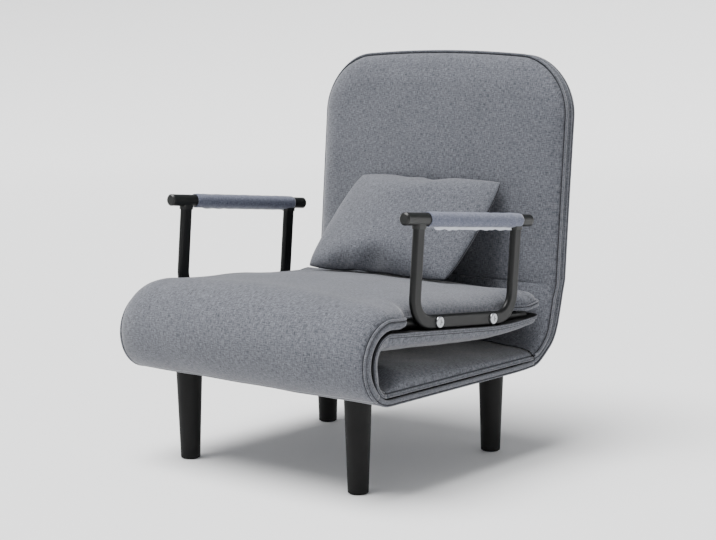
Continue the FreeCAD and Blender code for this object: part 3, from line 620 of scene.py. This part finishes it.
def sew(name, part):
    """Makes the mesh of a planned section."""
    bm = bmesh.new()
    bmesh.ops.create_grid(bm, x_segments=int(2 * part.width / GRID),
                          y_segments=int((part.end - part.start) / GRID), size=1.0)
    rim = [e for e in bm.edges if e.is_boundary and part.is_sewn(e)]
    plan, uv = {}, {}
    for v in bm.verts:
        x, u = part.planned(v.co.x, (v.co.y + 1) / 2)
        plan[v] = (x, u, *part.outward(x, u))
        uv[v] = (x * MM, u * MM)
        v.co = part.lay(part.narrow(x, u), u, part.height(x, u))
    run, before = 0.0, (0.0, 0.0)
    for out, down, finish in part.edge:
        fresh, rim, faces = extrude(bm, rim)
        run += math.dist(before, (out, down))
        before = (out, down)
        for v in fresh:
            root = next(e.other_vert(v) for e in v.link_edges if e.other_vert(v) not in fresh)
            plan[v] = x, u, nx, nu = plan[root]
            v.co = part.lay(part.narrow(x, u) + nx * out, u + nu * out,
                            down * part.thin(u - part.nose_at))
            uv[v] = ((x + nx * run) * MM, (u + nu * run) * MM)
        for f in faces:
            f.material_index = finish
    smooth_with_uv(bm, uv)
    bmesh.ops.recalc_face_normals(bm, faces=bm.faces[:])
    half_way = (part.start + part.end) / 2
    on_line, outside = (part.profile.place(0, half_way, h) for h in (0, 50))
    middle = min(bm.faces, key=lambda f: (f.calc_center_median() - on_line).length)
    if middle.normal.dot(outside - on_line) < 0:
        bmesh.ops.reverse_faces(bm, faces=bm.faces[:])
    # the second slot paints shade in the seams, the third a black shadow in the gap at the frame
    piece = new_piece(bm, name, cloth, painted_seam_shade, painted_gap_shadow)
    thicken(piece, 1.2)
    print(name, len(piece.data.polygons), "faces")
    return piece


# %% [markdown]
# The cover's crown is nothing under the base and rises round the nose to 38 mm. It gains 12 mm
# towards the middle of the seat and loses half of that at the rear. Under the base the cloth is
# taut. From the nose on it is looser, and its strip is highest where it goes round the front.

# %% Crown and strip of the seat cover
nose_crown, seat_gain, rear_loss = 38.0, 12.0, 6.0
nose_front = cover_top.at[ARC_STEPS]            # u at the front of the nose
nose_end = cover_top.at[2 * ARC_STEPS]          # u at the top of the nose
print("the nose runs over", round(nose_end), "mm of cloth")


def seat_crown(u):
    if u < 0:
        return 0.0
    if u >= nose_end:
        return (nose_crown + seat_gain * ramp(nose_end, nose_end + 200, u)
                - rear_loss * ramp(nose_end + 330, nose_end + 470, u))
    round_the_nose = u / nose_front if u < nose_front else 1 + (u - nose_front) / (nose_end - nose_front)
    return nose_crown / 2 * (1 - math.cos(math.pi / 2 * round_the_nose))


def looseness(u):
    """The cover is taut under the base and looser from the nose on."""
    return 0.4 + 0.6 * ramp(0, 60, u)


def seat_strip(u):
    """The strip is lower under the nose and towards the rear than round the nose's front."""
    front = (0.6 + 0.4 * ramp(0, 70, u)) * (1 - 0.6 * ramp(nose_end + 20, nose_end + 62, u))
    return front + 0.2 * ramp(nose_end + 390, nose_end + 440, u)


# %% [markdown]
# At each side the armrest's tube is bolted against the seat section and presses its cover in. The
# cover could be cut away there, but the real cloth is squeezed and swells over the bar. So its
# outer strip, from 225 mm on, is moved inwards to leave room for the tube.

# %% Room for the armrests
half_width, tube_room, knee = 313, 24.2, 225.0


def pressed(u):
    """1 where the armrest's tube runs along the side, and 0 before and after it."""
    s = u - nose_end
    return ramp(38, 68, s) * (1 - ramp(408, 436, s))


def beside_armrest(x, u):
    """x moved into the width that is left between the armrest tubes."""
    room = half_width - pressed(u) * tube_room
    if abs(x) <= knee:
        return x
    return math.copysign(knee + (abs(x) - knee) * (room - knee) / (half_width - knee), x)


print("room between the tubes:", round(2 * (half_width - tube_room)), "mm")

# %% [markdown]
# The seat cover is one piece on the real chair, from under the nose to the seat's rear. When the
# chair opens, the nose turns with the link and the seat turns further. It starts a little way
# round the nose, where the base cover takes over.

# %% Seat cover with the nose
join = 42.0
seat_piece = sew("seat_cover_soft", Section(
    cover_top, half_width, seat_crown, boxed_edge(18.5), start=join, corner=15, shoulder=78,
    waist=1.0, squeeze=beside_armrest, wavy=looseness, both_open=False, thin=seat_strip))
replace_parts(seat_piece, "seat_cover", "nose_cover_upper", "nose_cover_lower")
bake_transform(seat_piece)

# %% [markdown]
# The base cover is the same cloth under the base frame. It has the seat cover's crown and strip
# and counts them from the fold, so the two meet without a step. It is carried round the lower
# nose, because a seat cover that began right at the fold would cut into the base frame when the
# chair opens.

# %% Base cover
base_piece = sew("base_cover_soft", Section(
    cover_base, half_width, seat_crown, boxed_edge(18.5), stop=flat_length + join, shoulder=78,
    wavy=looseness, thin=seat_strip, nose_at=flat_length))
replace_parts(base_piece, "base_cover")
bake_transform(base_piece)

# %% [markdown]
# The back cover closes the rear of the back and the bend at its foot. It has large round corners
# and an arched top, and lies almost flat, because no foam is behind it, only the frame. It
# follows the base below the bend and the back above it, with the turn spread over the bend.

# %% Back cover with the rear bend
back_piece = sew("back_cover_soft", Section(
    cover_back, half_width, lambda u: 5.0 * ramp(60, 200, u), boxed_edge(13), corner=110, arch=17,
    waist=1.5, wavy=lambda u: 0.6, both_open=False))
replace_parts(back_piece, "back_cover", "corner_cover")
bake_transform(back_piece)

# %% [markdown]
# Inside the fold lies the mattress that one sleeps on. Its face bulges into the fold, and its
# narrow edge strip shows beside the cover's, with the black frame and a black painted shadow
# between the two. It is fullest at the nose and thins out at the seat's rear end, where the foam
# is pressed on the frame.

# %% Seat mattress with the fold
pad_half, pad_strip, pad_lift = 311, 9, 9.0
pad_nose = pad_top.at[2 * ARC_STEPS]            # u at the top of the fold's inside


def fold_crown(u):
    rear = ramp(pad_nose + 240, pad_top.length, u)
    return 12.0 + 30.0 * ramp(10, 60, u) - 6.0 * ramp(pad_nose + 60, pad_nose + 200, u) - 12.0 * rear


seat_pad = sew("seat_mattress_soft", Section(
    pad_top, pad_half, fold_crown, pad_edge(pad_strip), corner=15, both_open=False, lift=pad_lift))
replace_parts(seat_pad, "seat_mattress", "fold_mattress_upper", "fold_mattress_lower")
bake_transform(seat_pad)

# %% [markdown]
# The base mattress is a flat pad on the slats. It swells towards the front and drops again just
# before the fold, where the seat's mattress takes over.

# %% Base mattress


def base_crown(u):
    return 20.0 + 28.0 * ramp(20, 440, u) - 36.0 * ramp(400, 472, u)


base_pad = sew("base_mattress_soft", Section(
    pad_base, pad_half, base_crown, pad_edge(pad_strip), stop=472.0, lift=pad_lift))
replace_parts(base_pad, "base_mattress")
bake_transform(base_pad)

# %% [markdown]
# The back mattress is what one leans on. It is piped all round, which shows as a welt beside the
# back cover's, and it is 5 mm wider each side than the other two, so that it hides the frame's
# edge.

# %% Back mattress
back_half, back_strip = 316, 12.4


def back_crown(u):
    return 20.0 + 10.0 * ramp(0, 45, u) + 8.0 * ramp(80, 240, u)


back_pad = sew("back_mattress_soft", Section(
    pad_back, back_half, back_crown, pad_edge(back_strip, piped=True), corner=110, arch=17,
    both_open=False, lift=back_strip))
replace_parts(back_pad, "back_mattress", "corner_mattress")
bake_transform(back_pad)

# %% [markdown]
# The pillow is two flat sheets, sewn at the edge and filled with fibre. It is small and touches
# nothing at its seam, so here a simulation is the better way: a thin slab of cloth is blown up by
# pressure, which draws its sides in as filling does. Gravity is off, because filling holds it.

# %% Fill a cloth
FRAMES = 20


def fill_up(piece, pressure):
    """Blows a closed cloth up, then keeps the shape as the mesh."""
    blown = piece.modifiers.new("Cloth", "CLOTH")
    settings = blown.settings
    settings.quality, settings.mass = 7, 0.25
    settings.tension_stiffness = settings.compression_stiffness = 12
    settings.bending_stiffness = 2.5
    settings.use_pressure, settings.uniform_pressure_force = True, pressure
    settings.effector_weights.gravity = 0
    for f in range(1, FRAMES + 1):
        bpy.context.scene.frame_set(f)
    ready = piece.evaluated_get(bpy.context.evaluated_depsgraph_get())
    filled = bpy.data.meshes.new_from_object(ready)
    piece.modifiers.remove(blown)
    bpy.context.scene.frame_set(1)
    piece.data = filled


print("a pillow is filled over", FRAMES, "frames")

# %% [markdown]
# The pillow has slipped to one side, so its lower edge lies further left than its upper one. Its
# sides are cut a little bowed and its corners a little rounded, because pressure draws a straight
# side in and leaves a corner sharp. Smoothing afterwards takes out the small buckles at the seam.

# %% Pillow
pillow_half_x, pillow_half_y, slab = 191.0, 121.0, 5.0
pillow_slip, pillow_left = 41.0, -25.0
pillow_smoothing = 14


def pillow_outline(a, b):
    """The cut of the sheets, for a across and b up from -1 to 1."""
    up = (b + 1) / 2
    bow_x, bow_y = 1 + 0.05 * (1 - b * b), 0.06 * (1 - a * a)
    round_off = 1 - 0.03 * (a * b) ** 8
    return (pillow_left + pillow_slip * up + a * pillow_half_x * bow_x * round_off,
            pillow_half_y + b * pillow_half_y * (1 + bow_y) * round_off)


bm = bmesh.new()
bmesh.ops.create_grid(bm, x_segments=60, y_segments=40, size=1.0)
for v in bm.verts:
    v.co = Vector((*pillow_outline(v.co.x, v.co.y), 0)) * MM
for g in bmesh.ops.extrude_face_region(bm, geom=bm.faces[:])["geom"]:
    if isinstance(g, bmesh.types.BMVert):
        g.co.z += slab * MM
bmesh.ops.recalc_face_normals(bm, faces=bm.faces[:])
# the band round the sewn edge takes the seam material, a painted shade
for f in bm.faces:
    f.material_index = 1 if len({round(v.co.z, 6) for v in f.verts}) > 1 else 0
smooth_with_uv(bm, {v: (v.co.x, v.co.y) for v in bm.verts})
pillow = new_piece(bm, "pillow_soft")
fill_up(pillow, 2.2)
bm = bmesh.new()
bm.from_mesh(pillow.data)
for _ in range(pillow_smoothing):
    bmesh.ops.smooth_vert(bm, verts=bm.verts[:], factor=0.5, use_axis_x=True, use_axis_y=True,
                          use_axis_z=True)
bm.to_mesh(pillow.data)
bm.free()
lows = [min(v.co[i] for v in pillow.data.vertices) for i in range(3)]
highs = [max(v.co[i] for v in pillow.data.vertices) for i in range(3)]
print("pillow filled to", [round((h - l) / MM) for l, h in zip(lows, highs)], "mm")

# %% [markdown]
# The filled pillow is brought to the height and thickness that the picture shows, and laid
# against the back. Its lower edge rests on the seat cover's crown. When the seat turns over, the
# pillow would be pressed against the floor, so it flattens with that joint.

# %% Lean the pillow on the back
pillow_height, pillow_thick = 237, 100
leans = math.radians(90 - 36.2)                 # the pillow's slope over the level
foot_y, foot_z = on_seat(363, cover_t + 48.0)   # the middle of its lower edge

thicker = pillow_thick * MM / (highs[2] - lows[2])
for v in pillow.data.vertices:
    up = (v.co.y - lows[1]) / (highs[1] - lows[1]) * pillow_height * MM
    t = (v.co.z - (lows[2] + highs[2]) / 2) * thicker
    v.co = Vector((v.co.x, foot_y * MM + up * math.cos(leans) - t * math.sin(leans),
                   foot_z * MM + up * math.sin(leans) + t * math.cos(leans)))
# the seam material gives the sewn edge its painted shade
for finish in (pillow_cloth, painted_seam_shade):
    pillow.data.materials.append(finish)
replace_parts(pillow, "pillow")
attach(pillow, "pillow")
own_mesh(pillow)
print("the pillow stands", round(foot_z), "mm over the floor")

# %% [markdown]
# Each armrest bar wears a sleeve of cloth. Its long seam hangs below as a narrow hem with a raw,
# paler edge. A draped sheet would have to be pulled round a bar and sewn, so the sleeve is built
# as rings instead: 29 points round the bar, and two more at the lower edge of the hem. A small
# noise makes the cloth swell and sway, and each end is drawn in a little by its stitching.

# %% One ring of a sleeve
bar_x, bar_t, sleeve_r = 297.0, 251.5, 14.2     # the bar's x, its height on the seat, the cloth round it
sleeve_from, sleeve_to = 103.0, 403.0           # along the seat section, from the fold
ROUND, RING = 29, 31


def hem_depth(side):
    """The hem hangs lower on the side near the picture's viewer."""
    return 5.0 if side > 0 else 2.0


def ring(s, side):
    """(x, t) of the points of one ring, from the middle of the bar."""
    end = min(s - sleeve_from, sleeve_to - s)
    swell = 1 + 0.05 * noise.noise(Vector((s * 0.05, side, 0))) - 0.06 * math.exp(-max(end, 0) / 3)
    hem = hem_depth(side) * (1 + 0.5 * noise.noise(Vector((s * 0.06, 4.0, side))))
    hem = hem * ramp(126, 132, s) * (1 - ramp(382, 388, s))
    sway = 1.5 * noise.noise(Vector((s * 0.035, 9.0, side)))
    points = []
    for i in range(ROUND):
        a = math.radians(-88 + 356 * i / (ROUND - 1))
        wave = 1 + 0.03 * noise.noise(Vector((s * 0.09, math.cos(a) * 2, math.sin(a) * 2)))
        points.append((math.cos(a) * sleeve_r * swell * wave, math.sin(a) * sleeve_r * swell * wave))
    low = -sleeve_r - max(hem, 0.3)
    return points + [(sway - 0.7, low), (sway + 0.7, low)]


print("a sleeve is", round(sleeve_to - sleeve_from), "mm long")

# %% [markdown]
# The rings are extruded one after another along the bar, and the faces at the hem's edge get the
# paler material. The flat size is what a sewer would cut: the length, and the way round the bar
# with the hem down and up again.

# %% Sleeves
sleeve_rows, ring_step = 90, 3.1


def sleeve(name, side):
    bm = bmesh.new()
    row = [bm.verts.new((0, 0, 0)) for _ in range(RING)]
    edges = [bm.edges.new((row[i], row[(i + 1) % RING])) for i in range(RING)]
    uv = {}

    def lay(s):
        for i, (v, (x, t)) in enumerate(zip(row, ring(s, side))):
            v.co = Vector((side * (bar_x + x), *on_seat(s, bar_t + t))) * MM
            uv[v] = (s * MM, i * ring_step * MM)

    lay(sleeve_from)
    for k in range(1, sleeve_rows + 1):
        before = row
        fresh, edges, faces = extrude(bm, edges)
        row = [next(e.other_vert(v) for e in v.link_edges if e.other_vert(v) in fresh)
               for v in before]
        hem_edge = set(before[ROUND:] + row[ROUND:])
        for f in faces:
            f.material_index = 0 if hem_edge.isdisjoint(f.verts) else 1
        lay(sleeve_from + (sleeve_to - sleeve_from) * k / sleeve_rows)
    smooth_with_uv(bm, uv)
    bmesh.ops.recalc_face_normals(bm, faces=bm.faces[:])
    piece = new_piece(bm, name, sleeve_cloth, raw_edge)
    thicken(piece, 0.8)
    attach(piece, "seat")
    return piece


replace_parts(sleeve("sleeve_right", 1), "armrest_sleeve_right")
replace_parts(sleeve("sleeve_left", -1), "armrest_sleeve_left")

# %% [markdown]
# The studio is a roll of pale paper that curves up at its far edge, so that no horizon shows. The
# chair is seen from all sides, so the curve is spun into a wide dish round it.

# %% Floor
floor_radius, rim_radius = 8, 3                 # metres
bm = bmesh.new()
centre, rim = bm.verts.new((0, 0, 0)), bm.verts.new((floor_radius, 0, 0))
bm.edges.new((centre, rim))
bmesh.ops.spin(bm, geom=[rim], cent=(floor_radius, 0, rim_radius), axis=(0, 1, 0),
               angle=math.radians(-90), steps=12)
bmesh.ops.spin(bm, geom=bm.verts[:] + bm.edges[:], cent=(0, 0, 0), axis=(0, 0, 1),
               angle=math.radians(360), steps=96, use_merge=True)
bmesh.ops.remove_doubles(bm, verts=bm.verts[:], dist=1 * MM)
bmesh.ops.recalc_face_normals(bm, faces=bm.faces[:])
for f in bm.faces:
    f.smooth = True
floor_paint, _, _ = material("pale_studio_paper", "#e9e9e9", 0.9)
floor = new_piece(bm, "floor", floor_paint)
print("floor of", len(floor.data.polygons), "faces")

# %% [markdown]
# The picture has one large soft light overhead, whose shadow under the chair is short and has no
# edge. A sun as wide as 45 degrees gives that everywhere alike. A weak lamp in front lifts the
# front faces, and a pale surround fills in the shadows.

# %% Light
skylight_strength, skylight_width = 7.4, math.radians(45)
front_place, front_aim, front_size, front_power = (1.2, -3.4, 2.2), (0, 0, 0.4), 2.4, 10
surround_colour, surround_strength = "#f2f4f7", 0.42


def hang(name, lamp):
    """Puts a lamp into the scene and gives its object."""
    holder = bpy.data.objects.new(name, lamp)
    bpy.context.collection.objects.link(holder)
    return holder


skylight = bpy.data.lights.new("skylight", "SUN")
skylight.energy, skylight.angle = skylight_strength, skylight_width
hang("skylight", skylight).rotation_euler = (math.radians(16), math.radians(-12), 0)
front = bpy.data.lights.new("front", "AREA")
front.energy, front.size = front_power, front_size
holder = hang("front", front)
holder.location = front_place
holder.rotation_mode = "QUATERNION"
holder.rotation_quaternion = (Vector(front_place) - Vector(front_aim)).to_track_quat("Z", "Y")
world = bpy.data.worlds.new("studio")
world.use_nodes = True
world.node_tree.nodes["Background"].inputs[0].default_value = linear(surround_colour)
world.node_tree.nodes["Background"].inputs[1].default_value = surround_strength
bpy.context.scene.world = world
print("lamps:", [lamp.name for lamp in bpy.data.lights])
